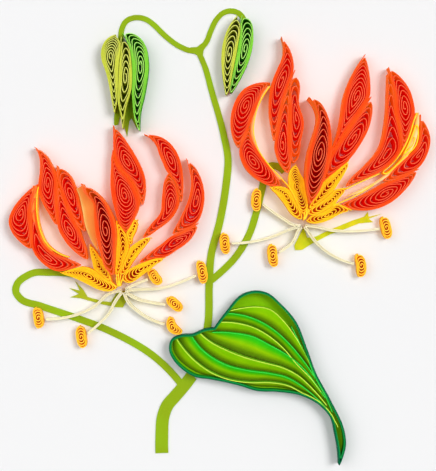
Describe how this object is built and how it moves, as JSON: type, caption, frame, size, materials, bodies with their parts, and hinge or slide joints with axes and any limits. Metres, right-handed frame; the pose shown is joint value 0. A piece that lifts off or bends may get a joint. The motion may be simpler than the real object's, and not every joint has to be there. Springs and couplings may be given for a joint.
{
  "type": "quilled paper flower",
  "caption": "Quilled paper lily sprig with red coil petals, yellow throats, long stamens, pale buds and a veined leaf on a flat cut-paper stem.",
  "frame": {"origin": "foot of the stem, on the underside of its sheet, which lies on a card or table", "axes": "+Y up the picture from the foot of the stem to the buds, +X to the viewer's right, +Z out of the card to the viewer"},
  "size_m": [0.126, 0.1377, 0.01],
  "materials": {
    "red_paper": "matte",
    "yellow_paper": "matte",
    "anther_paper": "matte",
    "cream_paper": "matte",
    "pistil_paper": "matte",
    "lime_paper": "matte",
    "pale_green_paper": "matte",
    "green_paper": "matte",
    "teal_paper": "matte"
  },
  "bodies": {
    "root": {"stem": "lime_paper", "leaf_blade": "lime_paper", "leaf_rim": "teal_paper", "left_petal_1_outer": "red_paper", "left_petal_1_inner": "red_paper", "left_petal_2_outer": "red_paper", "left_petal_2_front": "red_paper", "left_petal_2_middle": "red_paper", "left_petal_3": "red_paper", "left_petal_4_outer": "red_paper", "left_petal_4_inner": "red_paper", "left_petal_5_outer": "red_paper", "left_petal_5_inner": "red_paper", "left_petal_6_upper": "red_paper", "left_petal_6_lower": "red_paper", "left_fill_1": "yellow_paper", "left_fill_2": "yellow_paper", "left_fill_3": "yellow_paper", "left_fill_4": "yellow_paper", "left_fill_5": "yellow_paper", "left_fill_6": "yellow_paper", "left_anther_1": "anther_paper", "left_anther_2": "anther_paper", "left_anther_3": "anther_paper", "left_anther_4": "anther_paper", "left_anther_5": "anther_paper", "left_anther_6": "anther_paper", "left_filaments": "cream_paper", "left_pistil": "pistil_paper", "left_bud_left": "pale_green_paper", "left_bud_middle": "pale_green_paper", "left_bud_right": "green_paper", "right_petal_1_outer": "red_paper", "right_petal_1_inner": "red_paper", "right_petal_2_outer": "red_paper", "right_petal_2_middle": "red_paper", "right_petal_2_inner": "red_paper", "right_petal_3": "red_paper", "right_petal_4_outer": "red_paper", "right_petal_4_inner": "red_paper", "right_petal_5_outer": "red_paper", "right_petal_5_inner": "red_paper", "right_petal_6_upper": "red_paper", "right_petal_6_lower": "red_paper", "right_fill_1": "yellow_paper", "right_fill_2": "yellow_paper", "right_fill_4": "yellow_paper", "right_fill_5": "yellow_paper", "right_fill_6": "yellow_paper", "right_fill_7": "yellow_paper", "right_anther_1": "anther_paper", "right_anther_2": "anther_paper", "right_anther_3": "anther_paper", "right_anther_4": "anther_paper", "right_anther_5": "anther_paper", "right_filaments": "cream_paper", "right_pistil": "pistil_paper", "right_bud_left": "pale_green_paper", "right_bud_right": "green_paper"}
  },
  "joints": []
}
